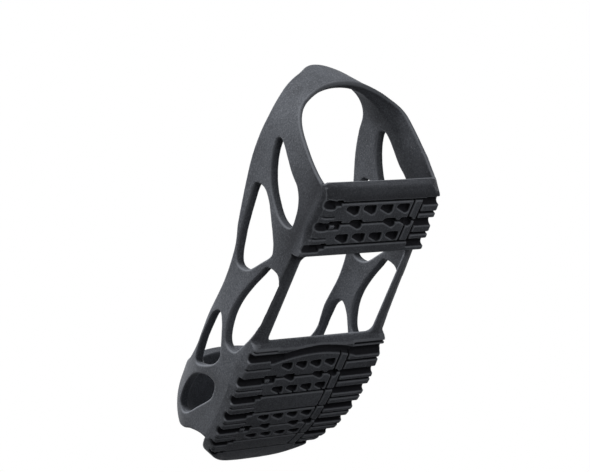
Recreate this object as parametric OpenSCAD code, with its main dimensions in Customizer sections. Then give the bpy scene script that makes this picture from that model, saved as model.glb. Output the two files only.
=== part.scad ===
// Anti-slip overshoe: a stretch-rubber harness on two treaded sole pads.
// Stations run forward from the rearmost point of the heel band, and heights run up from the tread.
// The finished part stands on its tread, centred on its own length: +X toe, +Y left side, +Z up.

/* [Sole lengths] */
// How far the heel band stands behind the heel pad
band_overhang = 28; // [22:1:34]
// Length of the heel pad
heel_pad_l = 50.5; // [49:0.5:60]
// Length of the open midfoot between the pads
midfoot_l = 64.5; // [54:0.5:74]
// Distance from the forefoot pad's rear edge to the ball of the foot
ball_setback = 34; // [30:1:40]
// Distance from the ball of the foot to the pad's front edge
toe_reach = 82; // [74:1:90]

/* [Harness] */
// Width across the side walls at the heel
heel_w = 85; // [78:1:92]
// Width across the side walls at the instep
instep_w = 92; // [86:1:98]
// Width across the side walls at the ball
ball_w = 104; // [98:1:112]
// Width across the side walls at the toes
toe_w = 95; // [88:1:100]
// Height of the side rail's top edge at the midfoot
rail_h = 54; // [50:1:60]
// Height of the toe band's crown
toe_h = 82; // [76:1:90]
// Height of the heel band's pull tab
loop_h = 100; // [94:1:110]
// Wall thickness of the harness
wall = 6; // [4:0.5:7]
// Forward lean of the heel band, in degrees
heel_lean = 15.5; // [10:0.5:20]
// Radius of the pull tab's rounded top
tab_r = 10; // [7:1:14]

/* [Pads] */
// Thickness of the sole pads and midfoot straps
plate_t = 5; // [4:0.5:7]
// Height of the tread lugs
lug_h = 4; // [3:0.5:5]
// Radius of the toe's upward curve
spring_r = 150; // [130:5:200]
// Distance from the ball of the foot to the start of that curve
spring_lead = 3; // [0:1:8]
// Distance from the pad's front edge back to the centre of its rounded toe
toe_round = 43; // [38:1:46]
// How far the heel lugs stand in from the walls
heel_lug_inset = 0.5; // [0:0.5:2]
// How far the forefoot lugs stand in from the walls
forefoot_lug_inset = 2; // [1:0.5:4]
// Width of the midfoot opening at its rear end
opening_rear_w = 71; // [60:1:76]
// Width of the midfoot opening at its front end
opening_front_w = 76; // [66:1:82]
// Corner radius of the midfoot opening
corner_r = 8; // [5:1:10]
// Slope that eases the pads' plain ends down to the tread
end_slope_l = 4; // [3:0.5:4.5]

/* [Tread] */
// Length of the heel pad's smooth rear lip
heel_lip_l = 10.6; // [9.6:0.2:11.4]
// Width of the heel pad's smooth rear lip
heel_lip_w = 78; // [70:1:82]
// Groove pitch along the heel pad
heel_pitch = 15.5; // [14:0.1:16]
// Length of the forefoot pad's smooth rear bar
forefoot_lip_l = 9.5; // [8.5:0.5:11]
// Length of the forefoot pad's first bar, from groove to groove
forefoot_bar_l = 18.4; // [17:0.2:20]
// Groove pitch along the forefoot pad
forefoot_pitch = 14.4; // [13.6:0.2:15]
// Width of the grooves between the edge lugs
groove_w = 5; // [4:0.5:6]
// Width of the sipes between the middle bars
sipe_w = 1.4; // [1:0.2:2]
// How far the sipes lie behind the middle of the edge grooves
sipe_lead = 1.6; // [0:0.2:1.8]
// Reach of the heel pad's bars to the left of the middle line
heel_reach = 33.5; // [31:0.5:36]
// Reach of the forefoot pad's bars to the left of the middle line
forefoot_reach = 34; // [31:0.5:36]
// Reach of the heel pad's bars to the right of the middle line
heel_right = 23; // [22:0.5:26]
// Reach of the forefoot pad's bars to the right of the middle line
forefoot_right = 17; // [16.5:0.5:22]
// Width of the ladder strip on the right of the bars
ladder_w = 5.4; // [4.6:0.2:6.4]
// Radius of the heel pad's grip pockets
heel_pocket_r = 4.9; // [4:0.1:5.2]
// Sideways pitch of the heel pad's grip pockets
heel_pocket_pitch = 12.4; // [12:0.2:12.8]
// Radius of the forefoot pad's grip pockets
forefoot_pocket_r = 4.3; // [3.6:0.1:4.5]
// Sideways pitch of the forefoot pad's grip pockets
forefoot_pocket_pitch = 10.8; // [10.2:0.2:11]
// Depth of the grip pockets
pocket_depth = 3; // [1.5:0.5:3]
// How far the heel pad's grip pockets stand to the left of the middle line
heel_pocket_shift = 1; // [0:0.5:2]
// How far the forefoot pad's grip pockets stand to the left of the middle line
forefoot_pocket_shift = 4; // [3.5:0.5:5]

/* [Hidden] */
$fn = 72;
ROUND = 240;
FAR = 400;
CURVE_STEPS = 6;
LAYER = 0.05;
pocket_row = 0.66;
DOME_POWER = 2.3;
DOME_STEPS = [0, 0.16, 0.3, 0.43, 0.55, 0.66, 0.75, 0.83, 0.89, 0.94, 0.975, 0.995, 1];
HEEL_TAPER = 0.036;
RUBBER = [0.16, 0.17, 0.18];
STRETCH = [0.24, 0.25, 0.27];
TREAD = [0.10, 0.10, 0.11];

// Stations along the part
heel_rear = band_overhang;
heel_front = heel_rear + heel_pad_l;
fore_rear = heel_front + midfoot_l;
ball_x = fore_rear + ball_setback;
total_l = ball_x + toe_reach;
sole_top = lug_h + plate_t;
spring_x = ball_x + spring_lead;
toe_pad_x = total_l - toe_round;

// Places on the outlines are written for the sizes above and follow them when they change
function st(x) = lookup(x, [[-40, -40], [0, 0], [28, heel_rear], [78.5, heel_front], [143, fore_rear],
                            [177, ball_x], [259, total_l], [299, total_l + 40]]);
function ht(z) = lookup(z, [[-20, -20], [0, 0], [9, sole_top], [54, rail_h], [82, toe_h],
                            [100, loop_h], [140, loop_h + 40]]);
function at(p) = [st(p[0]), ht(p[1])];

// Smooth curves through a few points
function bend(a, b, c, d, t) =
    0.5 * (2 * b + (c - a) * t + (2 * a - 5 * b + 4 * c - d) * t * t + (3 * b - a - 3 * c + d) * t * t * t);
function closed_curve(p) = let (n = len(p))
    [for (i = [0 : n - 1], k = [0 : CURVE_STEPS - 1])
        bend(p[(i + n - 1) % n], p[i], p[(i + 1) % n], p[(i + 2) % n], k / CURVE_STEPS)];
function open_curve(p) = let (n = len(p))
    concat([for (i = [0 : n - 2], k = [0 : CURVE_STEPS - 1])
        bend(p[max(i - 1, 0)], p[i], p[i + 1], p[min(i + 2, n - 1)], k / CURVE_STEPS)], [p[n - 1]]);

// Outlines seen from the left side, as station and height
RIM = [[-8, 112], [0, 104], [7.5, 95.5], [10.4, 91.4], [15, 87], [21.4, 82.7], [31, 79.7], [43, 79.2],
       [58, 76.5], [75, 70.5], [95, 62.5], [111, 56], [134, 53], [161, 55], [182, 54], [201, 60],
       [209, 67], [213, 76], [214, 88]];
TOE_EDGE = [[251, 88], [251, 70], [250, 58], [247, 49], [242, 40.5], [236, 33], [230, 22],
            [228, 13], [227, 0]];
HEEL_EDGE = [[29, 0], [29, 12], [26.6, 24], [22.2, 35.6], [17, 48], [11, 60], [6.6, 64.5],
             [0, 70], [-8, 74]];
WINDOWS = [
    [[33.2, 57], [37.8, 47.4], [42.5, 37.5], [45.7, 27.7], [51.8, 21.4], [59.7, 18.3], [67, 18], [69.8, 25],
     [68.3, 34.5], [61.7, 46.4], [53.7, 54.5], [44.7, 60], [36.8, 62], [33.6, 60.5]],
    [[65, 54], [68, 46.1], [74.8, 37.6], [81.8, 29.3], [87.5, 24.2], [92.3, 23.2], [101.3, 28.6], [111, 35],
     [115, 40.5], [116, 47], [111.6, 51.6], [101.5, 55.2], [91, 58.2], [81, 60.7], [70.8, 62.8],
     [66.6, 61.2]],
    [[96.7, 13], [98.5, 8.2], [104.4, 6.8], [121, 6.8], [137.7, 7.8], [151.6, 12.2], [159.4, 16.4], [161, 24],
     [157, 29.3], [145.8, 33], [134.3, 33], [121.2, 29.9], [108.4, 25.3], [99.5, 21.5]],
    [[150, 44], [153.5, 37.7], [162.3, 31.3], [170.7, 26.3], [177, 27.6], [183.5, 33], [190, 41], [193, 47],
     [190, 50], [178, 51], [166, 50.8], [156.4, 49.6]],
    [[189.1, 24.4], [191.5, 21.2], [198.8, 21.3], [204.7, 24], [218.6, 33.4], [228.5, 40.3], [231.7, 46],
     [229, 51.5], [219.6, 52.5], [208, 49], [199, 43], [191.6, 33]]];

// Lines where the rubber flexes and the part is divided
strut_lo = ht(20);
strut_hi = ht(45);
rear_rail = [st(41), st(58)];
front_rail = [st(75), st(115)];
brace_rear = st(90);
brace_top = ht(44);
sill_front = st(57);
vamp_rail = [st(165), st(184)];
toe_lo = ht(30);
toe_hi = ht(46);
toe_split = st(210);

// Plan radius and place of the four stations that the walls are stretched over, at height z
function heel_r(z) = heel_w / 2 - HEEL_TAPER * z;
function heel_x(z) = heel_r(z) + (z - ht(70)) * tan(heel_lean);
function dome(r, z, shoulder, inset) = z <= shoulder ? r - inset :
    let (rise = (z - shoulder) / (toe_h - inset - shoulder))
    (r - inset) * pow(max(0, 1 - pow(rise, DOME_POWER)), 1 / DOME_POWER);
ball_shoulder = ht(30);
toe_shoulder = ht(37);
toe_rake = 7;
function toe_x(z) = st(225) - toe_rake * pow(max(0, z - toe_shoulder) / (toe_h - toe_shoulder), 2);
function levels(inset) = concat([1, ht(20), ball_shoulder],
    [for (u = DOME_STEPS) toe_shoulder + u * (toe_h - inset - toe_shoulder)]);

module place() {
    translate([-total_l / 2, 0, 0]) children();
}

// Draws a side view, station by height, through the part from y1 to y2
module across(y1, y2) {
    translate([0, y2, 0]) rotate([90, 0, 0]) linear_extrude(y2 - y1) children();
}

// The outline of two discs and the straight walls between them
module link(xa, ra, xb, rb) {
    lean = (ra - rb) / (xb - xa);
    side = sqrt(1 - lean * lean);
    translate([xa, 0]) circle(ra, $fn = ROUND);
    translate([xb, 0]) circle(rb, $fn = ROUND);
    polygon([[xa + ra * lean, -ra * side], [xb + rb * lean, -rb * side],
             [xb + rb * lean, rb * side], [xa + ra * lean, ra * side]]);
}

// Plan outline of the sole, grown by grow
module footprint(grow) {
    link(heel_x(sole_top), heel_r(sole_top) + grow, st(100), instep_w / 2 + grow);
    link(st(100), instep_w / 2 + grow, ball_x, ball_w / 2 + grow);
    intersection() {
        link(ball_x, ball_w / 2 + grow, toe_pad_x, toe_w / 2 + grow);
        translate([0, -FAR / 2]) square([total_l, FAR]);
    }
}

// A band between two heights above the tread's face, following the toe's upward curve
module sole_strip(s1, s2, lo, hi) {
    if (s1 < spring_x) translate([s1, lo]) square([min(s2, spring_x) - s1, hi - lo]);
    if (s2 > spring_x) translate([spring_x, spring_r]) intersection() {
        difference() {
            circle(spring_r - lo, $fn = ROUND);
            circle(spring_r - hi, $fn = ROUND);
        }
        wedge(sole_angle(s1), sole_angle(s2));
    }
}
function sole_angle(s) = max(0, s - spring_x) / spring_r * 180 / PI;
module wedge(a1, a2) {
    polygon([[0, 0], FAR * [sin(a1), -cos(a1)], FAR * [sin(a2), -cos(a2)]]);
}

// Puts a shape drawn at the tread's face onto station s of the curved sole
module on_sole(s) {
    a = sole_angle(s);
    if (a > 0)
        translate([spring_x, 0, spring_r]) rotate([0, -a, 0]) translate([0, 0, -spring_r]) children();
    else translate([s, 0, 0]) children();
}

// The solid that the harness is stretched over, and the rubber wall around it
module slice(z, inset) {
    stations = concat([[heel_x(z), heel_r(z) - inset], [st(100), instep_w / 2 - inset]],
        z > toe_h - inset ? [] : [[ball_x, dome(ball_w / 2, z, ball_shoulder, inset)],
                                  [toe_x(z), dome(toe_w / 2, z, toe_shoulder, inset)]]);
    for (s = stations) translate([s[0], 0, z]) cylinder(h = LAYER, r = max(s[1], LAYER));
}
module form(inset) {
    z = concat(levels(inset), [toe_h - inset + LAYER, loop_h + tab_r]);
    for (i = [0 : len(z) - 2]) hull() {
        slice(z[i], inset);
        slice(z[i + 1], inset);
    }
}
module shell() {
    difference() {
        form(0);
        form(wall);
    }
}

// Side view of the harness: its rim, its two open ends, its windows and the pads that it stands on
module side_view() {
    difference() {
        polygon([for (p = concat(open_curve(RIM), open_curve(TOE_EDGE), open_curve(HEEL_EDGE))) at(p)]);
        for (w = WINDOWS) polygon([for (p = closed_curve(w)) at(p)]);
        translate([-FAR, -FAR]) square([FAR + fore_rear, FAR + sole_top]);
        sole_strip(fore_rear, total_l + FAR / 4, -FAR / 4, sole_top);
    }
}

// The harness walls inside the side view zones given as children, on one side or on both
module harness(y1, y2) {
    intersection() {
        shell();
        across(y1, y2) intersection() {
            side_view();
            children();
        }
    }
}
module left_wall() {
    harness(0, ball_w) children();
}
module zone(s1, s2, z1, z2) {
    translate([s1, z1]) square([s2 - s1, z2 - z1]);
}

// A tread bar between two stations and two sideways places
module bar(s1, s2, y1, y2, grow) {
    intersection() {
        across(y1, y2) sole_strip(s1, s2, 0, lug_h);
        translate([0, 0, -1]) linear_extrude(FAR / 4) footprint(grow);
    }
}
// A grip pocket: a rounded triangle with a straight side towards the heel
POCKET = [[-0.55, -0.6], [-0.35, -0.85], [0.4, -1.07], [0.65, -0.85], [0.6, -0.5], [-0.1, 0.85],
          [-0.35, 1], [-0.55, 0.75]];
module pocket(r) {
    translate([0, 0, -1]) linear_extrude(pocket_depth + 1) polygon(POCKET * r);
}
// Middle bars from groove first to groove last, with the ladder strip on their right
module panel(grooves, first, last, reach, right, grow) {
    rung = -right - sipe_w;
    for (i = [first : last - 1]) {
        s1 = grooves[i] - sipe_lead + sipe_w / 2;
        s2 = grooves[i + 1] - sipe_lead - sipe_w / 2;
        bar(s1, s2, -right, reach, grow);
        bar(s1, s2, rung - ladder_w, rung, grow);
    }
}
// Grip pockets in two bars and across the sipe between them
module pockets(middle, pitch, right, r, spacing, shift) {
    for (row = [-pocket_row, pocket_row], y = [-1.5 : 1 : 1.5])
        on_sole(middle + row * pitch) translate([0, y * spacing + shift, 0]) pocket(r);
    for (y = [shift + spacing, shift - spacing, -right - sipe_w / 2])
        on_sole(middle) translate([0, y, 0]) pocket(r);
}
module edge_lugs(grooves, inner, grow) {
    for (i = [0 : len(grooves) - 2])
        bar(grooves[i] + groove_w / 2, grooves[i + 1] - groove_w / 2, inner, ball_w, grow);
}
function right_edge(right) = right + ladder_w + 2 * sipe_w;
heel_grooves = [for (i = [0 : 2]) heel_rear + heel_lip_l + i * heel_pitch];
fore_grooves = concat([fore_rear + forefoot_lip_l],
    [for (i = [0 : 5]) fore_rear + forefoot_lip_l + forefoot_bar_l + i * forefoot_pitch]);
fore_end = total_l + toe_reach;

// Plain end of a pad, at tread height from the groove at station s and sloping up to its outer end
module plain_end(s, outer) {
    foot = outer + sign(s - outer) * end_slope_l;
    polygon([[s, 0], [foot, 0], [outer, lug_h], [s, lug_h + plate_t / 2]]);
}

// Forefoot pad: the plate with its smooth rear bar and front lip
module forefoot_sole() {
    color(TREAD) place() intersection() {
        union() {
            across(-ball_w, ball_w) {
                sole_strip(fore_rear, fore_end, lug_h, sole_top);
                sole_strip(fore_grooves[6] + groove_w / 2, fore_end, 0, sole_top);
            }
            across(-right_edge(forefoot_right), forefoot_reach)
                sole_strip(fore_grooves[6] - sipe_lead + sipe_w / 2, fore_end, 0, sole_top);
            across(-ball_w, ball_w) plain_end(fore_grooves[0] - groove_w / 2, fore_rear);
        }
        translate([0, 0, -1]) linear_extrude(FAR / 4) footprint(-forefoot_lug_inset);
    }
}
module forefoot_panel(first, last, gripped) {
    color(TREAD) place() difference() {
        panel(fore_grooves, first, last, forefoot_reach, forefoot_right, -forefoot_lug_inset);
        if (gripped)
            pockets(fore_grooves[first + 1] - sipe_lead, forefoot_pitch, forefoot_right,
                    forefoot_pocket_r, forefoot_pocket_pitch, forefoot_pocket_shift);
    }
}
module forefoot_grip_panel_rear() forefoot_panel(0, 2, true);
module forefoot_cross_bar() forefoot_panel(2, 3, false);
module forefoot_grip_panel_front() forefoot_panel(3, 5, true);
module forefoot_front_bar() forefoot_panel(5, 6, false);
module forefoot_edge_lugs_left() {
    color(TREAD) place()
        edge_lugs(fore_grooves, forefoot_reach, -forefoot_lug_inset);
}
module forefoot_edge_lugs_right() {
    color(TREAD) place() mirror([0, 1, 0])
        edge_lugs(fore_grooves, right_edge(forefoot_right), -forefoot_lug_inset);
}

// Forefoot walls, from the side junction to the roots of the toe posts
module forefoot_side_web_left() {
    color(RUBBER) place() left_wall() {
        zone(front_rail[1], vamp_rail[0], 0, loop_h);
        zone(vamp_rail[0], total_l, 0, toe_lo);
    }
}
module forefoot_side_web_right() mirror([0, 1, 0]) forefoot_side_web_left();

// Stretch straps beside the midfoot opening
module midfoot_opening() {
    hull() for (e = [[heel_front + corner_r, opening_rear_w], [fore_rear - corner_r, opening_front_w]],
                y = [-1, 1])
        translate([e[0], y * (e[1] / 2 - corner_r)]) circle(corner_r);
}
module midfoot_strap_left() {
    color(STRETCH) place() translate([0, 0, lug_h]) linear_extrude(plate_t) difference() {
        intersection() {
            footprint(-forefoot_lug_inset);
            translate([heel_front, 0]) square([midfoot_l, ball_w]);
        }
        midfoot_opening();
    }
}
module midfoot_strap_right() mirror([0, 1, 0]) midfoot_strap_left();

// Stretch members that join the heel's walls to the forefoot's
module side_brace_left() {
    color(STRETCH) place() left_wall() zone(brace_rear, front_rail[1], 0, brace_top);
}
module side_brace_right() mirror([0, 1, 0]) side_brace_left();
module front_rail_left() {
    color(STRETCH) place() left_wall() zone(front_rail[0], front_rail[1], brace_top, loop_h);
}
module front_rail_right() mirror([0, 1, 0]) front_rail_left();

// Heel pad: the plate with its smooth rear lip and front bar
module heel_sole() {
    color(TREAD) place() intersection() {
        union() {
            across(-ball_w, ball_w) {
                sole_strip(heel_rear, heel_front, lug_h, sole_top);
                plain_end(heel_grooves[2] + groove_w / 2, heel_front);
            }
            across(-right_edge(heel_right), heel_reach)
                plain_end(heel_grooves[2] - sipe_lead + sipe_w / 2, heel_front);
            across(-heel_lip_w / 2, heel_lip_w / 2) plain_end(heel_grooves[0] - groove_w / 2, heel_rear);
        }
        translate([0, 0, -1]) linear_extrude(FAR / 4) footprint(-heel_lug_inset);
    }
}
module heel_grip_panel() {
    color(TREAD) place() difference() {
        panel(heel_grooves, 0, 2, heel_reach, heel_right, -heel_lug_inset);
        pockets(heel_grooves[1] - sipe_lead, heel_pitch, heel_right,
                heel_pocket_r, heel_pocket_pitch, heel_pocket_shift);
    }
}
module heel_edge_lugs_left() {
    color(TREAD) place() edge_lugs(heel_grooves, heel_reach, -heel_lug_inset);
}
module heel_edge_lugs_right() {
    color(TREAD) place() mirror([0, 1, 0])
        edge_lugs(heel_grooves, right_edge(heel_right), -heel_lug_inset);
}

// Heel walls: the sill on the pad and the post up to the side rail
module heel_side_web_left() {
    color(RUBBER) place() left_wall() {
        zone(0, sill_front, 0, strut_lo);
        zone(sill_front, brace_rear, 0, brace_top);
        zone(rear_rail[1], front_rail[0], 0, loop_h);
    }
}
module heel_side_web_right() mirror([0, 1, 0]) heel_side_web_left();

// Heel loop: two struts, the band behind the heel with its pull tab, and the rear rails
module heel_strut_left() {
    color(STRETCH) place() left_wall() zone(0, sill_front, strut_lo, strut_hi);
}
module heel_strut_right() mirror([0, 1, 0]) heel_strut_left();
module rear_rail_left() {
    color(STRETCH) place() left_wall() zone(rear_rail[0], rear_rail[1], strut_hi, loop_h);
}
module rear_rail_right() mirror([0, 1, 0]) rear_rail_left();
module heel_band() {
    color(RUBBER) place() {
        harness(-ball_w, ball_w) zone(-FAR / 2, rear_rail[0], strut_hi, loop_h);
        intersection() {
            shell();
            translate([-heel_rear, 0, loop_h - tab_r]) rotate([0, 90, 0])
                cylinder(h = heel_rear + st(20), r = tab_r);
        }
    }
}

// Toe loop: posts, front strips and vamp rails that carry the band over the toes
module toe_post_left() {
    color(STRETCH) place() left_wall() zone(vamp_rail[0], toe_split, toe_lo, toe_hi);
}
module toe_post_right() mirror([0, 1, 0]) toe_post_left();
module toe_strip_left() {
    color(STRETCH) place() left_wall() zone(toe_split, total_l, toe_lo, toe_hi);
}
module toe_strip_right() mirror([0, 1, 0]) toe_strip_left();
module vamp_rail_left() {
    color(STRETCH) place() left_wall() zone(vamp_rail[0], vamp_rail[1], toe_hi, loop_h);
}
module vamp_rail_right() mirror([0, 1, 0]) vamp_rail_left();
module toe_band() {
    color(RUBBER) place() harness(-ball_w, ball_w) zone(vamp_rail[1], total_l, toe_hi, loop_h);
}

forefoot_sole();
forefoot_grip_panel_rear();
forefoot_cross_bar();
forefoot_grip_panel_front();
forefoot_front_bar();
forefoot_edge_lugs_left();
forefoot_edge_lugs_right();
forefoot_side_web_left();
forefoot_side_web_right();
midfoot_strap_left();
midfoot_strap_right();
side_brace_left();
side_brace_right();
front_rail_left();
front_rail_right();
heel_sole();
heel_grip_panel();
heel_edge_lugs_left();
heel_edge_lugs_right();
heel_side_web_left();
heel_side_web_right();
heel_strut_left();
heel_strut_right();
rear_rail_left();
rear_rail_right();
heel_band();
toe_post_left();
toe_post_right();
toe_strip_left();
toe_strip_right();
vamp_rail_left();
vamp_rail_right();
toe_band();
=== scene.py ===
"""Looks of the anti-slip overshoe.

The rubber is one moulding, so it is drawn as one distance field over the frame's sizes, meshed once, and then
divided where the frame's bodies flex. Lengths are millimetres until a mesh is made.
"""

import functools
import math

import bpy
import numpy as np
from mathutils import Matrix, Vector


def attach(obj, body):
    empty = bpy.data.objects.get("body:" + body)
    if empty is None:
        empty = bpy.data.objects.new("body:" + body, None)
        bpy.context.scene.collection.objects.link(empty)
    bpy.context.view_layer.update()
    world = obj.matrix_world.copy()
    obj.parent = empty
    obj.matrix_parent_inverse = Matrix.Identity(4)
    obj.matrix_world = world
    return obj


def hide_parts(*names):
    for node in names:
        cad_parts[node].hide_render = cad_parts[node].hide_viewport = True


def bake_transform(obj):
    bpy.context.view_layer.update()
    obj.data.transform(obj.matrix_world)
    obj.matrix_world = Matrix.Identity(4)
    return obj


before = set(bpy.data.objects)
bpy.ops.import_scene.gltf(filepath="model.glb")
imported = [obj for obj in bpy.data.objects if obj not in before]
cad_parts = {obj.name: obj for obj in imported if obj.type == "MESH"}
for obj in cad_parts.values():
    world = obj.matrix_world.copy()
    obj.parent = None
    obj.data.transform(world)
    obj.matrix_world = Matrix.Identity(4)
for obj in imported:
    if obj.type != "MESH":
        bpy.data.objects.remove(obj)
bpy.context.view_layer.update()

MM = 0.001
STEP = 0.6                          # spacing of the field's samples
MARGIN = 3                          # room around the moulding in the field
MIN_SLOPE, MAX_TAPER = 0.3, 0.98    # limits that keep divisions in the field safe

# Stations s run forward from the rearmost point, y to the left and z up
TOTAL_L = 259.0
HEEL_REAR, HEEL_FRONT, FORE_REAR = 28.0, 78.5, 143.0
INSTEP_S, BALL_S, TOE_S, TOE_PAD_S = 100.0, 177.0, 225.0, 216.0
HEEL_R, INSTEP_R, BALL_R, TOE_R = 42.5, 46.0, 52.0, 47.5
HEEL_TAPER, HEEL_LEAN, BAND_Z = 0.036, math.tan(math.radians(15.5)), 70.0
BALL_SHOULDER, TOE_SHOULDER, TOE_H, TOE_RAKE, DOME_POWER = 30.0, 37.0, 82.0, 7.0, 2.3
HEEL_POWER, BAND_POWER, SQUARE_Z = 3.0, 2.15, (42.0, 74.0)
BALL_BLEND = 7.0
STRUT_PUSH, PUSH_Y, PUSH_S = 5.0, (12.0, 36.0), (30.0, 60.0)
PUSH_LOW, PUSH_HIGH = (6.0, 26.0), (48.0, 76.0)
LOOP_H, TAB_R, WALL, HEEL_WALL, THINNING = 100.0, 10.0, 6.0, 2.6, 14.0
EDGE_R, LIP_R, LIP_CORNER_R, TAB_BLEND = 1.2, 5.0, (14.0, 4.0), 9.0
SHOULDER_R, HEEL_LEFT_R, HEEL_LEFT_S, HEEL_LEFT_Y = 1.5, 7.0, (58.0, 74.0), (10.0, 34.0)

# Sole and straps
LUG_H, SOLE_TOP, SPRING_S, SPRING_R = 4.0, 9.0, 180.0, 150.0
HEEL_INSET, FORE_INSET, WALL_INSET, LIP_RISE = 0.5, 2.0, 1.0, 0.5
OPENING_REAR, OPENING_FRONT, CORNER_R, END_SLOPE = 39.0, 39.5, 4.5, 4.0
STRAP_DROP, BEVEL_Y, BEVEL_Z, BEVEL_R = 2.0, 5.8, 3.0, 0.8

# Tread, which has no cut above CUT_TOP
CUT_TOP = SPRING_R / 4
SIPE_W, SIPE_LEAD, LADDER_W, TREAD_EDGE_R = 1.4, 1.6, 5.4, 0.5
GROOVE_W, FLUTE_R, FLUTE_END_R = 5.8, 2.3, 1.2
ROW_SHARE, POCKET_DEPTH, POCKET_ROUND, RAMP_START, RAMP = 0.66, 3.6, 0.45, 2.0, 1.9
POCKET = [(-0.2, 0.95), (-0.2, -0.5), (0.6, -0.6)]
PIT_DEPTH, PIT_A, PIT_Y, BLOCK_A, BLOCK_Y = 3.2, (-4.0, 2.4), (-8.5, 0.5), (-1.4, 1.8), (-4.6, -1.0)
NOTCH_A, NOTCH_Y = (-3.4, 0.6), (-3.6, 0.5)
LEFT_SLIT, RIGHT_SLIT, SLIT_REACH, FADE_Y = (0.9, 1.6), (1.8, 2.6), 2.0, (3.0, 10.0)
TROUGH_A, TROUGH_DEPTH, TROUGH_BOW, TROUGH_SPAN, TROUGH_END = 3.0, 2.7, 3.4, 24.5, 2.0
PADS = [dict(grooves=[38.6, 54.1, 69.6], sipes=[0, 1, 2],
             gripped=[1], pitch=15.5, left=33.5, first_left=33.5, right=23.0, ladder_start=37.0,
             pocket_r=4.0, spacing=12.4, shift=1.0, fade=2.0, slits=[47.2, 62.7]),
        dict(grooves=[152.5, 170.9, 185.3, 199.7, 214.1, 228.5, 242.9], sipes=[1, 2, 3, 4, 5, 6],
             gripped=[1, 4], pitch=14.4, left=34.0, first_left=24.0, right=17.0, ladder_start=153.5,
             pocket_r=3.5, spacing=10.8, shift=4.0, fade=0.0,
             slits=[147.6, 161.2, 177.6, 192.0, 206.4, 221.0, 236.0])]

# Outlines seen from the left side, as station and height
RIM = [(-8, 112), (0, 104), (7.5, 95.5), (10.4, 91.4), (15, 87), (21.4, 82.7), (31, 79.7), (43, 79.2),
       (58, 76.5), (75, 70.5), (95, 62.5), (111, 56), (134, 53), (161, 55), (182, 54), (201, 60),
       (209, 67), (213, 76), (214, 88)]
TOE_EDGE = [(251, 88), (251, 70), (250, 58), (247, 49), (242, 40.5), (236, 33), (230, 22), (228, 13),
            (227, 0)]
HEEL_EDGE = [(29, 0), (29, 12), (26.6, 24), (22.2, 35.6), (17, 48), (11, 60), (6.6, 64.5), (0, 70), (-8, 74)]
BELOW = [(227, -20), (29, -20)]
WINDOWS = [
    [(33.2, 57), (37.8, 47.4), (42.5, 37.5), (45.7, 27.7), (51.8, 21.4), (59.7, 18.3), (67, 18), (69.8, 25),
     (68.3, 34.5), (61.7, 46.4), (53.7, 54.5), (44.7, 60), (36.8, 62), (33.6, 60.5)],
    [(65, 54), (68, 46.1), (74.8, 37.6), (81.8, 29.3), (87.5, 24.2), (92.3, 23.2), (101.3, 28.6), (111, 35),
     (115, 40.5), (116, 47), (111.6, 51.6), (101.5, 55.2), (91, 58.2), (81, 60.7), (70.8, 62.8),
     (66.6, 61.2)],
    [(96.7, 13), (98.5, 8.2), (104.4, 6.8), (121, 6.8), (137.7, 7.8), (151.6, 12.2), (159.4, 16.4), (161, 24),
     (157, 29.3), (145.8, 33), (134.3, 33), (121.2, 29.9), (108.4, 25.3), (99.5, 21.5)],
    [(150, 44), (153.5, 37.7), (162.3, 31.3), (170.7, 26.3), (177, 27.6), (183.5, 33), (190, 41), (193, 47),
     (190, 50), (178, 51), (166, 50.8), (156.4, 49.6)],
    [(189.1, 24.4), (191.5, 21.2), (198.8, 21.3), (204.7, 24), (218.6, 33.4), (228.5, 40.3), (231.7, 46),
     (229, 51.5), (219.6, 52.5), (208, 49), (199, 43), (191.6, 33)]]

# Lines where the rubber flexes
STRUT_Z, STRUT_FRONT, STRUT_SLANT = (20.0, 58.0), 57.0, 0.6
REAR_RAIL_Z, REAR_RAIL_S = 45.0, (41.0, 58.0)
TOE_Z, VAMP_S, POST_S, STRIP_S = (30.0, 46.0), (151.0, 192.0), 172.0, 210.0


# Distance field

def ease(x, lo, hi):
    """0 before lo, 1 after hi and smooth between them"""
    t = np.clip((x - lo) / (hi - lo), 0, 1)
    return t * t * (3 - 2 * t)


def round_max(a, b, r):
    """The overlap of two bodies, with its edge rounded to radius r"""
    return np.minimum(np.maximum(a, b), -r) + np.hypot(np.maximum(a + r, 0), np.maximum(b + r, 0))


def soft_min(a, b, r):
    """Two bodies joined, with a fillet of about r between them"""
    share = np.maximum(r - np.abs(a - b), 0) / r
    return np.minimum(a, b) - share * share * r / 4


def curve(points, closed=False, steps=6):
    """A smooth line through the points"""
    p = np.array(points, float)
    n = len(p)
    out = []
    for i in range(n if closed else n - 1):
        near = [i + k for k in (-1, 0, 1, 2)]
        a, b, c, d = (p[k % n if closed else min(max(k, 0), n - 1)] for k in near)
        for t in np.arange(steps) / steps:
            out.append(0.5 * (2 * b + (c - a) * t + (2 * a - 5 * b + 4 * c - d) * t * t
                              + (3 * b - a - 3 * c + d) * t ** 3))
    return out if closed else out + [p[-1]]


def outline_distance(points, s, z):
    """Distance from a closed outline in side view, negative inside it"""
    square = np.full(np.broadcast(s, z).shape, 1e9)
    inside = np.zeros(square.shape, bool)
    for (s1, z1), (s2, z2) in zip(points, points[1:] + points[:1]):
        ds, dz = s2 - s1, z2 - z1
        t = np.clip(((s - s1) * ds + (z - z1) * dz) / max(ds * ds + dz * dz, 1e-9), 0, 1)
        square = np.minimum(square, (s - s1 - t * ds) ** 2 + (z - z1 - t * dz) ** 2)
        if dz:
            inside ^= ((z1 > z) != (z2 > z)) & (s < s1 + (z - z1) * ds / dz)
    return np.where(inside, -1, 1) * np.sqrt(square)


def side_view(s, z):
    """The harness seen from the side, negative on its rubber, without the tab"""
    below = [np.array(p, float) for p in BELOW]
    d = outline_distance(curve(RIM) + curve(TOE_EDGE) + below + curve(HEEL_EDGE), s, z)
    for w in WINDOWS:
        d = np.maximum(d, -outline_distance(curve(w, closed=True), s, z))
    return d


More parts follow.
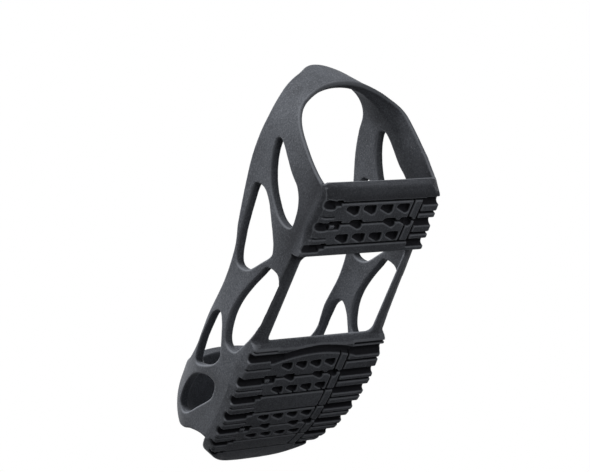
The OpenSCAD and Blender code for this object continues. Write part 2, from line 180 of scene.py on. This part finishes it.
def link(s, y, sa, ra, sb, rb, power=2.0):
    """Distance from the plan outline of two discs and the straight walls between them

    A power above 2 makes the rear disc squarer.
    """
    h = sb - sa
    b = np.clip((ra - rb) / h, -MAX_TAPER, MAX_TAPER)
    a = np.sqrt(1 - b * b)
    along = s - sa
    k = a * along - b * y
    return np.where(k < 0, (y ** power + np.abs(along) ** power) ** (1 / power) - ra,
                    np.where(k > a * h, np.hypot(y, along - h) - rb, y * a + along * b - ra))


def heel_disc(z):
    """Station and radius of the heel's disc at a height"""
    r = HEEL_R - HEEL_TAPER * z
    return r + (z - BAND_Z) * HEEL_LEAN, r


def per_slope(field):
    """Turns a field that is zero on a surface into a distance from it"""
    slope = np.sqrt(sum(g * g for g in np.gradient(field, STEP)))
    return field / np.maximum(slope, MIN_SLOPE)


def form(s, y, z):
    """Distance from the outside of the walls, which run over discs at heel, instep, ball and toe"""
    heel_s, heel_r = heel_disc(z)
    rise = np.clip((z - BALL_SHOULDER) / (TOE_H - BALL_SHOULDER), 0, 1)
    ball_r = BALL_R * (1 - rise ** DOME_POWER) ** (1 / DOME_POWER)
    power = HEEL_POWER + (BAND_POWER - HEEL_POWER) * ease(z, *SQUARE_Z)
    rear = np.minimum(link(s, y, heel_s, heel_r, INSTEP_S, INSTEP_R, power),
                      link(s, y, heel_s, heel_r, BALL_S, ball_r, power))
    rear = per_slope(np.minimum(rear, link(s, y, INSTEP_S, INSTEP_R, BALL_S, ball_r)))
    toe_s = TOE_S - TOE_RAKE * np.clip((z - TOE_SHOULDER) / (TOE_H - TOE_SHOULDER), 0, 1) ** 2
    t = np.clip((s - BALL_S) / (toe_s - BALL_S), 0, 1)
    r = BALL_R + (TOE_R - BALL_R) * t
    shoulder = BALL_SHOULDER + (TOE_SHOULDER - BALL_SHOULDER) * t
    out = np.hypot(s - BALL_S - t * (toe_s - BALL_S), y) / r
    up = np.maximum(z - shoulder, 0) / (TOE_H - shoulder)
    front = per_slope(r * ((out ** DOME_POWER + up ** DOME_POWER) ** (1 / DOME_POWER) - 1))
    share = ease(s, BALL_S - BALL_BLEND, BALL_S + BALL_BLEND)
    return rear * (1 - share) + front * share


def sole_place(s, z):
    """Station along the sole and height above the tread's face, where the toe curves upwards"""
    curved = s > SPRING_S
    a = np.where(curved, SPRING_S + SPRING_R * np.arctan2(s - SPRING_S, SPRING_R - z), s)
    return a, np.where(curved, SPRING_R - np.hypot(s - SPRING_S, SPRING_R - z), z)


def nearest(a, stations):
    """Distance along the sole from the nearest of some stations"""
    return functools.reduce(np.minimum, [np.abs(a - s) for s in stations])


def between(x, start, limits):
    """Distance from the stretch between two limits that are counted from start"""
    lo, hi = limits
    return np.maximum(start + lo - x, x - start - hi)


def pocket(a, y, h, r):
    """A rounded triangle, straight towards the heel, with a floor that slopes up to its long side"""
    outline = outline_distance([(r * pa, r * py) for pa, py in POCKET], a, y) - POCKET_ROUND * r
    (a1, y1), (a2, y2) = POCKET[2], POCKET[0]
    run = math.hypot(a2 - a1, y2 - y1)
    inwards = ((a - a1 * r) * (y1 - y2) + (y - y1 * r) * (a2 - a1)) / run + POCKET_ROUND * r
    return np.maximum(outline, h - np.minimum(RAMP_START + RAMP * inwards, POCKET_DEPTH))


def pockets(a, y, h, pad, middle):
    """Two rows of grip pockets, and one row across the sipe between them"""
    spacing, shift = pad["spacing"], pad["shift"]
    row = [n * spacing + shift for n in (-1.5, -0.5, 0.5, 1.5)]
    across = [shift + spacing, shift - spacing, -pad["right"] - SIPE_W / 2]
    return [pocket(a - middle - share * pad["pitch"], y - place, h, pad["pocket_r"])
            for share, places in ((-ROW_SHARE, row), (0, across), (ROW_SHARE, row)) for place in places]


def flutes(a, h, over, depth, stations):
    """Round-bottomed grooves between the lugs at the edges"""
    side = np.maximum(nearest(a, stations) - GROOVE_W / 2 + FLUTE_R, 0)
    return round_max(np.hypot(side, np.maximum(h - depth + FLUTE_R, 0)) - FLUTE_R, -over, FLUTE_END_R)


def pad_cuts(a, y, h, pad):
    """Everything moulded into one pad: sipes, the ladder strip, flutes, slits, pits and pockets"""
    grooves, left, right = pad["grooves"], pad["left"], -pad["right"] - LADDER_W - 2 * SIPE_W
    sipes = [grooves[i] - SIPE_LEAD for i in pad["sipes"]]
    over = np.maximum(y - left, right - y)
    over_first = np.maximum(y - pad["first_left"], right - y)
    depth = LUG_H - pad["fade"] * ease(y - left, *FADE_Y)
    sipe = np.maximum(nearest(a, sipes) - SIPE_W / 2, over)
    lines = np.minimum(np.abs(y + pad["right"] + SIPE_W / 2), np.abs(y - right - SIPE_W / 2)) - SIPE_W / 2
    lines = np.maximum(lines, between(a, 0, (pad["ladder_start"], grooves[-1] - SIPE_LEAD)))
    cuts = [np.maximum(np.minimum(sipe, lines), h - LUG_H),
            flutes(a, h, over_first, depth, grooves[:1]), flutes(a, h, over, depth, grooves[1:])]
    for i in pad["sipes"]:
        if i in pad["gripped"]:
            pit = np.maximum(between(a, grooves[i], PIT_A), between(y, left, PIT_Y))
            pit = np.maximum(pit, -np.maximum(between(a, grooves[i], BLOCK_A), between(y, left, BLOCK_Y)))
            cuts += pockets(a, y, h, pad, grooves[i] - SIPE_LEAD)
        else:
            pit = np.maximum(between(a, grooves[i], NOTCH_A), between(y, left, NOTCH_Y))
        cuts.append(np.maximum(pit, h - PIT_DEPTH))
    for (width, depth), beyond in ((LEFT_SLIT, left - SLIT_REACH - y), (RIGHT_SLIT, y - right)):
        cuts.append(np.maximum(np.maximum(nearest(a, pad["slits"]) - width / 2, beyond), h - depth))
    return cuts


def tread_cuts(a, y, h):
    """The cuts in both pads, with the bowed trough behind the forefoot's panel"""
    pad = PADS[1]
    bow = np.minimum(TROUGH_BOW * ((y / TROUGH_SPAN) ** 2 - 1), TROUGH_END)
    trough = np.hypot((a - pad["grooves"][0] - bow) / TROUGH_A, h / TROUGH_DEPTH)
    trough = np.maximum(trough * TROUGH_DEPTH - TROUGH_DEPTH, y - pad["left"])
    return functools.reduce(np.minimum, [cut for p in PADS for cut in pad_cuts(a, y, h, p)] + [trough])


def lip_corner(h):
    """Radius of the corners where the heel's rear lip meets the walls, larger lower down"""
    low, high = LIP_CORNER_R
    return low + (high - low) * np.clip(h / SOLE_TOP, 0, 1)


def sole(s, y, h, lifted, rear):
    """The two pads and the straps beside the midfoot opening, with square edges"""
    heel_s, heel_r = heel_disc(SOLE_TOP)
    plan = np.minimum(link(s, y, heel_s, heel_r, BALL_S, BALL_R),
                      link(s, y, BALL_S, BALL_R, TOE_PAD_S, TOE_R))
    inset = HEEL_INSET + (FORE_INSET - HEEL_INSET) * ease(s, HEEL_FRONT, FORE_REAR)
    plan = round_max(plan + inset * (1 - np.clip(h / SOLE_TOP, 0, 1)), s - TOTAL_L, LIP_R)
    plan = round_max(plan, rear, lip_corner(h))
    half = OPENING_REAR + (OPENING_FRONT - OPENING_REAR) * (s - HEEL_FRONT) / (FORE_REAR - HEEL_FRONT)
    middle, reach = (HEEL_FRONT + FORE_REAR) / 2, (FORE_REAR - HEEL_FRONT) / 2
    u, v = np.abs(s - middle) - reach + CORNER_R, y - half + CORNER_R
    opening = np.hypot(np.maximum(u, 0), np.maximum(v, 0)) + np.minimum(np.maximum(u, v), 0) - CORNER_R
    return round_max(np.maximum(plan, h - SOLE_TOP + STRAP_DROP * lifted), -opening, EDGE_R)


def blank(s, y, z):
    """Distance from the right and left half of the moulding before the tread is cut, negative inside it"""
    a, h = sole_place(s, z)
    lifted = ease(a, HEEL_FRONT - END_SLOPE, HEEL_FRONT) * (1 - ease(a, FORE_REAR, FORE_REAR + END_SLOPE))
    underside = LUG_H * lifted - h
    rear = HEEL_REAR - a - LIP_RISE * np.maximum(h - SOLE_TOP, 0)
    outside = form(s, y, z)
    forward = ease(s, HEEL_FRONT, FORE_REAR)
    flank = outside + WALL_INSET * (1 - np.clip(h / SOLE_TOP, 0, 1)) * forward
    flank = round_max(flank, rear, lip_corner(h))
    side = side_view(s[:, 0, :], z[:, 0, :])[:, None, :].astype(np.float32)
    tab = np.hypot(y, z - LOOP_H + TAB_R) - TAB_R
    side = soft_min(side, np.maximum(tab, s - HEEL_REAR), TAB_BLEND)
    edge_s, edge_z = np.array(HEEL_EDGE, np.float32).T
    thick = HEEL_WALL + (WALL - HEEL_WALL) * ease(s - np.interp(z, edge_z, edge_s), 0, THINNING)
    wall = round_max(np.maximum(flank, -outside - thick), side, EDGE_R)
    square = np.minimum(wall, sole(s, y, h, lifted, rear))
    bevel = (BEVEL_Z * flank + BEVEL_Y * underside + BEVEL_Y * BEVEL_Z) / math.hypot(BEVEL_Y, BEVEL_Z)
    heel_left_r = SHOULDER_R + ((HEEL_LEFT_R - SHOULDER_R) * ease(y, *HEEL_LEFT_Y)
                                * (1 - ease(s, *HEEL_LEFT_S)))
    halves = []
    for shoulder_r in (SHOULDER_R, heel_left_r):
        body = round_max(square, underside, shoulder_r)
        body = round_max(body, bevel - 2 * LUG_H * (1 - lifted), BEVEL_R)
        halves.append(np.maximum(body, round_max(rear, underside, LIP_R)))
    return halves


# Surface of the field

def surface_net(field):
    """Quads on the zero of a field, with one point in each cell that it crosses, in grid places"""
    inside = field < 0
    cells = tuple(n - 1 for n in field.shape)
    corners = [(i, j, k) for i in (0, 1) for j in (0, 1) for k in (0, 1)]
    count = sum(inside[tuple(slice(o, o + n) for o, n in zip(c, cells))].astype(np.int8) for c in corners)
    crossed = np.argwhere((count > 0) & (count < 8))
    index = np.full(cells, -1, np.int64)
    index[tuple(crossed.T)] = np.arange(len(crossed))
    total, hits = np.zeros((len(crossed), 3)), np.zeros(len(crossed))
    for axis in range(3):
        step = np.eye(3, dtype=int)[axis]
        for c in (c for c in corners if c[axis] == 0):
            f0, f1 = field[tuple((crossed + c).T)], field[tuple((crossed + c + step).T)]
            hit = (f0 < 0) != (f1 < 0)
            t = np.where(hit, f0 / np.where(hit, f0 - f1, 1), 0)
            total += hit[:, None] * (np.array(c) + t[:, None] * step)
            hits += hit
    quads = []
    for axis in range(3):
        u, v = (np.eye(3, dtype=int)[(axis + k) % 3] for k in (1, 2))
        near = np.moveaxis(inside, axis, 0)
        edges = np.argwhere(np.moveaxis(near[:-1] != near[1:], 0, axis))
        edges = edges[np.all((edges - u - v >= 0) & (edges < cells), axis=1)]
        around = [index[tuple((edges - d).T)] for d in (u + v, v, 0 * u, u)]
        quad = np.stack(around, axis=1)
        leaving = inside[tuple(edges.T)]
        quads.append(np.where(leaving[:, None], quad, quad[:, ::-1]))
    return crossed + total / hits[:, None], np.concatenate(quads)


def sample(grid, places):
    """Values of a grid at places between its points"""
    base = np.minimum(places.astype(int), np.array(grid.shape) - 2)
    part = places - base
    value = 0
    for i in (0, 1):
        for j in (0, 1):
            for k in (0, 1):
                weight = np.prod(np.where((i, j, k), part, 1 - part), axis=1)
                value = value + weight * grid[tuple((base + (i, j, k)).T)]
    return value


def pushed(points):
    """Moves the right strut a little further back than the left one"""
    s, y, z = points.T
    share = ease(-y, *PUSH_Y) * ease(z, *PUSH_LOW) * (1 - ease(z, *PUSH_HIGH)) * (1 - ease(s, *PUSH_S))
    return np.stack([s - STRUT_PUSH * share, y, z], axis=1)


def rubber_surface():
    """Points, quads and normals of the moulding, how sharp its edges are and how deep its cuts"""
    s = np.arange(-MARGIN, TOTAL_L + MARGIN, STEP, dtype=np.float32)
    y = np.arange(0, BALL_R + MARGIN, STEP, dtype=np.float32)
    z = np.arange(-MARGIN, LOOP_H + MARGIN, STEP, dtype=np.float32)
    right, left = blank(s[:, None, None], y[None, :, None], z[None, None, :])
    field = np.concatenate([right[:, :0:-1], left], axis=1)
    width = np.concatenate([-y[:0:-1], y])[None, :, None]
    uncut = field.copy()
    low = z < CUT_TOP
    a, h = sole_place(s[:, None, None], z[None, None, low])
    field[:, :, low] = round_max(field[:, :, low], -tread_cuts(a, width, h), TREAD_EDGE_R)
    places, quads = surface_net(field)
    normals = np.stack([sample(g, places) for g in np.gradient(field)], axis=1)
    normals /= np.linalg.norm(normals, axis=1)[:, None]
    around = -6 * field
    for axis in range(3):
        around += np.roll(field, 1, axis) + np.roll(field, -1, axis)
    points = pushed(places * STEP + (s[0], -y[-1], z[0]))
    return points, quads, normals, {"edge": sample(around, places), "recess": -sample(uncut, places)}


# Pieces

SIDED = ("left", "right")
BENDS = {"midfoot": ("forefoot", "heel", (FORE_REAR, 0), (HEEL_FRONT, 0)),
         "heel_strut": ("heel", "heel_loop", (0, STRUT_Z[0]), (0, STRUT_Z[1])),
         "rear_rail": ("heel", "heel_loop", (REAR_RAIL_S[1], 0), (REAR_RAIL_S[0], 0)),
         "toe_post": ("forefoot", "toe_loop", (0, TOE_Z[0]), (0, TOE_Z[1])),
         "toe_strip": ("forefoot", "toe_loop", (0, TOE_Z[0]), (0, TOE_Z[1])),
         "vamp_rail": ("forefoot", "toe_loop", (VAMP_S[0], 0), (VAMP_S[1], 0))}
RIDES = {"heel_tread": "heel", "forefoot_tread": "forefoot", "heel_side_web": "heel",
         "forefoot_side_web": "forefoot", "heel_band": "heel_loop", "toe_band": "toe_loop"}
WHOLE = ("heel_tread", "forefoot_tread", "heel_band", "toe_band")
STANDS_FOR = {
    "heel_tread": ["heel_sole", "heel_grip_panel", "heel_edge_lugs_left", "heel_edge_lugs_right"],
    "forefoot_tread": ["forefoot_sole", "forefoot_grip_panel_rear", "forefoot_cross_bar",
                       "forefoot_grip_panel_front", "forefoot_front_bar", "forefoot_edge_lugs_left",
                       "forefoot_edge_lugs_right"],
    "midfoot": ["midfoot_strap", "side_brace", "front_rail"]}


def zones(points):
    """The name of the piece that each point belongs to"""
    s, _, z = points.T
    _, h = sole_place(s, z)
    pad = h < SOLE_TOP + STEP
    heel, fore = s < HEEL_FRONT, s > FORE_REAR
    strut = heel & (z >= STRUT_Z[0]) & (z < STRUT_Z[1])
    strut &= s < STRUT_FRONT - STRUT_SLANT * (z - STRUT_Z[0])
    loop = heel & (z >= REAR_RAIL_Z)
    toe_high, toe_low = z >= TOE_Z[1], z >= TOE_Z[0]
    return np.select(
        [heel & pad, fore & pad, ~heel & ~fore,
         strut, loop & (s < REAR_RAIL_S[0]), loop & (s < REAR_RAIL_S[1]), heel,
         toe_high & (s >= VAMP_S[1]), toe_high & (s >= VAMP_S[0]),
         toe_low & ~toe_high & (s >= STRIP_S), toe_low & ~toe_high & (s >= POST_S)],
        ["heel_tread", "forefoot_tread", "midfoot",
         "heel_strut", "heel_band", "rear_rail", "heel_side_web",
         "toe_band", "vamp_rail", "toe_strip", "toe_post"], "forefoot_side_web")


def in_frame(points):
    """Millimetre stations as metres in the frame"""
    return (np.asarray(points, float) - (TOTAL_L / 2, 0, 0)) * MM


def add_piece(name, faces, surface):
    """One piece of the moulding, with its own points"""
    points, _, normals, marks = surface
    used, corner = np.unique(faces, return_inverse=True)
    mesh = bpy.data.meshes.new(name)
    mesh.from_pydata(in_frame(points[used]).tolist(), [], corner.reshape(faces.shape).tolist())
    mesh.shade_smooth()
    mesh.normals_split_custom_set_from_vertices(normals[used].tolist())
    for label, values in marks.items():
        attribute = mesh.attributes.new(label, "FLOAT", "POINT")
        attribute.data.foreach_set("value", values[used].astype(np.float32))
    obj = bpy.data.objects.new(name + "_skin", mesh)
    bpy.context.scene.collection.objects.link(obj)
    return obj


def fasten(obj, zone, side):
    """Ties a piece that rides on one body to that body, bakes in the place of a piece that spans a bend, and
    hides the solids that it stands for
    """
    if zone in BENDS:
        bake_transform(obj)
    else:
        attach(obj, RIDES[zone])
    nodes = STANDS_FOR.get(zone, [zone])
    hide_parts(*([f"{n}_{side}" for n in nodes] if side else nodes))


def build_pieces(harness, tread):
    """Divides the moulding into pieces, with the materials of the harness and the tread"""
    surface = rubber_surface()
    points, quads = surface[:2]
    middle = points[quads].mean(axis=1)
    zone = zones(middle)
    for name in np.unique(zone):
        sides = [None] if name in WHOLE else SIDED
        for side in sides:
            chosen = zone == name
            if side:
                chosen &= (middle[:, 1] > 0) == (side == "left")
            obj = add_piece(f"{name}_{side}" if side else str(name), quads[chosen], surface)
            is_tread = name.endswith("tread")
            obj.data.materials.append(tread if is_tread else harness)
            fasten(obj, str(name), side)


# Materials

DARK, PALE = (0.068, 0.072, 0.081, 1), (0.124, 0.132, 0.149, 1)
# The pale grey is dust on the rubber and also the painted highlight on edges; the darkest grey is painted
# shade, low on the heel and in the cuts
DUST_AND_HIGHLIGHT, PAINTED_SHADE = (0.24, 0.252, 0.278, 1), (0.015, 0.015, 0.018, 1)
# Scale, detail and roughness of each noise
NOISES = {"cloud": (24, 4, 0.55), "patch": (130, 5, 0.65), "grain": (900, 2, 0.7), "speck": (1700, 1, 0.55)}
# Noise, its limits, the grey's share at them and the grey
MOTTLING = [("cloud", (0.36, 0.66), (0.0, 1.0), PALE), ("patch", (0.40, 0.66), (0.0, 0.55), PALE),
            ("grain", (0.36, 0.50), (0.55, 0.0), DARK), ("grain", (0.52, 0.70), (0.0, 0.35), DUST_AND_HIGHLIGHT),
            ("speck", (0.62, 0.74), (0.0, 0.6), DUST_AND_HIGHLIGHT)]
# Where painted shade darkens the rubber low on the heel, in metres: above the tread's face and on the rear
# lip
LOW_Z, LOW_SHADE_SHARE, LOW_X = (0.012, 0.038), (0.65, 0.0), (-0.06, -0.015)
ABOVE_TREAD_Z, LIP_X, LIP_SHARE = (0.001, 0.010), (-0.0945, -0.0915), (0.7, 0.0)
# Limits and shares of the edges, paled partly as wear and partly as painted highlight, and of the painted
# shade in the cuts
EDGE, EDGE_SHARE, RECESS, CUT_SHADE_SHARE = (0.1, 0.34), (0.0, 0.6), (0.25, 1.3), (0.0, 0.92)
BUMP, BUMP_DEPTH, SPECULAR = 0.35, 0.0005, 0.02
ROUGH_PATCH, ROUGHNESS = (0.3, 0.7), (0.58, 0.75)


class Nodes:
    """Adds shader nodes and links them by socket name"""

    def __init__(self, tree):
        self.tree = tree
        tree.nodes.clear()

    def add(self, kind, inputs=None, **settings):
        node = self.tree.nodes.new(kind)
        for key, value in settings.items():
            setattr(node, key, value)
        for key, value in (inputs or {}).items():
            socket = node.inputs[key]
            if isinstance(value, bpy.types.NodeSocket):
                self.tree.links.new(value, socket)
            else:
                socket.default_value = value
        return node

    def spread(self, value, lo, hi, out_lo=0.0, out_hi=1.0):
        """Maps value from lo..hi to out_lo..out_hi"""
        return self.add("ShaderNodeMapRange", {"Value": value, "From Min": lo, "From Max": hi,
                                               "To Min": out_lo, "To Max": out_hi}).outputs["Result"]

    def math(self, operation, a, b):
        return self.add("ShaderNodeMath", {0: a, 1: b}, operation=operation).outputs[0]

    def mix(self, share, a, b):
        node = self.add("ShaderNodeMix", {"Factor": share}, data_type="RGBA")
        for socket, value in ((node.inputs[6], a), (node.inputs[7], b)):
            if isinstance(value, bpy.types.NodeSocket):
                self.tree.links.new(value, socket)
            else:
                socket.default_value = value
        return node.outputs[2]


def rubber(name):
    """Moulded rubber: mottled greys with pale dust, edges paled partly as wear and partly as painted
    highlight, and painted shade low on the heel and in cuts
    """
    material = bpy.data.materials.new(name)
    material.use_nodes = True
    n = Nodes(material.node_tree)
    place = n.add("ShaderNodeTexCoord").outputs["Object"]
    axes = n.add("ShaderNodeSeparateXYZ", {"Vector": place}).outputs
    noises = {}
    for label, (scale, detail, rough) in NOISES.items():
        noises[label] = n.add("ShaderNodeTexNoise", {"Vector": place, "Scale": scale, "Detail": detail,
                                                     "Roughness": rough}).outputs["Fac"]
    edge, recess = (n.add("ShaderNodeAttribute", attribute_name=label).outputs["Fac"]
                    for label in ("edge", "recess"))
    colour = DARK
    for label, limits, shares, grey in MOTTLING:
        colour = n.mix(n.spread(noises[label], *limits, *shares), colour, grey)
    # Painted shade low on the heel wall, kept off the tread's face except on the rear lip
    low = n.math("MULTIPLY", n.spread(axes["Z"], *LOW_Z, *LOW_SHADE_SHARE), n.spread(axes["X"], *LOW_X, 1.0, 0.0))
    clear = n.math("MAXIMUM", n.spread(axes["Z"], *ABOVE_TREAD_Z), n.spread(axes["X"], *LIP_X, *LIP_SHARE))
    colour = n.mix(n.math("MULTIPLY", low, clear), colour, PAINTED_SHADE)
    # Convex edges paled toward the pale grey: partly wear, partly a painted highlight
    colour = n.mix(n.spread(edge, *EDGE, *EDGE_SHARE), colour, DUST_AND_HIGHLIGHT)
    # Painted shade in the cuts, darker the deeper they go
    colour = n.mix(n.spread(recess, *RECESS, *CUT_SHADE_SHARE), colour, PAINTED_SHADE)
    bump = n.add("ShaderNodeBump", {"Height": noises["grain"], "Strength": BUMP, "Distance": BUMP_DEPTH})
    rough = n.spread(noises["patch"], *ROUGH_PATCH, *ROUGHNESS)
    shader = n.add("ShaderNodeBsdfPrincipled", {"Base Color": colour, "Roughness": rough,
                                                "Normal": bump.outputs["Normal"],
                                                "Specular IOR Level": SPECULAR})
    n.add("ShaderNodeOutputMaterial", {"Surface": shader.outputs["BSDF"]})
    return material


# Stage, light and camera

CAMERA_PLACE = (-0.71912, 0.78862, -0.78964)
CAMERA_RIGHT = (-0.32234, -0.81090, -0.48840)
CAMERA_FORWARD = (0.51557, -0.58309, 0.62785)
LENS, SENSOR = 134.33, 36.0
FLOOR_SIZE, FLOOR_FADE = 2.0, (0.4, 0.9)
FLOOR_COLOUR = (0.82, 0.82, 0.81, 1)
AMBIENT = 0.06
# Place, size and power of each lamp
LAMPS = {"key": ((-0.85, 0.72, 1.42), 1.0, 40), "low": ((-0.52, 0.1, -0.32), 0.3, 1.0),
         "front": ((1.1, 0.3, 1.3), 1.0, 12), "right": ((0.2, -1.4, 0.6), 1.0, 16)}


def add_camera():
    """The camera at the photograph's viewing angle"""
    camera = bpy.data.objects.new("camera", bpy.data.cameras.new("camera"))
    camera.data.lens, camera.data.sensor_width, camera.data.sensor_fit = LENS, SENSOR, "HORIZONTAL"
    right, back = Vector(CAMERA_RIGHT).normalized(), -Vector(CAMERA_FORWARD).normalized()
    axes = Matrix((right, back.cross(right), back)).transposed().to_4x4()
    camera.matrix_world = Matrix.Translation(CAMERA_PLACE) @ axes
    bpy.context.scene.collection.objects.link(camera)
    bpy.context.scene.camera = camera


def add_lamp(name, place, size, power):
    """A round soft lamp that points at the middle of the frame"""
    lamp = bpy.data.objects.new(name, bpy.data.lights.new(name, "AREA"))
    lamp.data.shape, lamp.data.size, lamp.data.energy = "DISK", size, power
    lamp.location = place
    lamp.rotation_euler = (-Vector(place)).to_track_quat("-Z", "Y").to_euler()
    bpy.context.scene.collection.objects.link(lamp)


def add_floor():
    """A pale floor that fades out around the object, and is clear from below, where the sole shows"""
    reach = FLOOR_SIZE / 2
    mesh = bpy.data.meshes.new("floor")
    corners = [(-reach, -reach, 0), (reach, -reach, 0), (reach, reach, 0), (-reach, reach, 0)]
    mesh.from_pydata(corners, [], [(0, 1, 2, 3)])
    floor = bpy.data.objects.new("floor", mesh)
    material = bpy.data.materials.new("floor")
    material.use_nodes = True
    n = Nodes(material.node_tree)
    behind = n.add("ShaderNodeNewGeometry").outputs["Backfacing"]
    place = n.add("ShaderNodeTexCoord").outputs["Object"]
    away = n.add("ShaderNodeVectorMath", {0: place}, operation="LENGTH").outputs["Value"]
    unseen = n.math("MAXIMUM", behind, n.spread(away, *FLOOR_FADE))
    pale = n.add("ShaderNodeBsdfDiffuse", {"Color": FLOOR_COLOUR})
    clear = n.add("ShaderNodeBsdfTransparent")
    mixed = n.add("ShaderNodeMixShader", {0: unseen, 1: pale.outputs[0], 2: clear.outputs[0]})
    n.add("ShaderNodeOutputMaterial", {"Surface": mixed.outputs[0]})
    mesh.materials.append(material)
    bpy.context.scene.collection.objects.link(floor)
    floor.visible_diffuse = floor.visible_glossy = floor.visible_transmission = floor.visible_shadow = False


def add_world():
    """Plain soft light, with a white background where the camera or a reflection sees it"""
    world = bpy.data.worlds.new("studio")
    bpy.context.scene.world = world
    world.use_nodes = True
    n = Nodes(world.node_tree)
    path = n.add("ShaderNodeLightPath").outputs
    seen = n.math("MAXIMUM", path["Is Camera Ray"], path["Is Glossy Ray"])
    seen = n.math("MAXIMUM", seen, path["Is Transmission Ray"])
    light = n.add("ShaderNodeBackground", {"Color": (1, 1, 1, 1), "Strength": AMBIENT})
    white = n.add("ShaderNodeBackground", {"Color": (1, 1, 1, 1), "Strength": 1.0})
    mixed = n.add("ShaderNodeMixShader", {0: seen, 1: light.outputs[0], 2: white.outputs[0]})
    n.add("ShaderNodeOutputWorld", {"Surface": mixed.outputs[0]})


build_pieces(rubber("harness_rubber"), rubber("tread_rubber"))
add_camera()
add_floor()
add_world()
for lamp, (place, size, power) in LAMPS.items():
    add_lamp(lamp, place, size, power)
bpy.context.scene.view_settings.view_transform = "Standard"
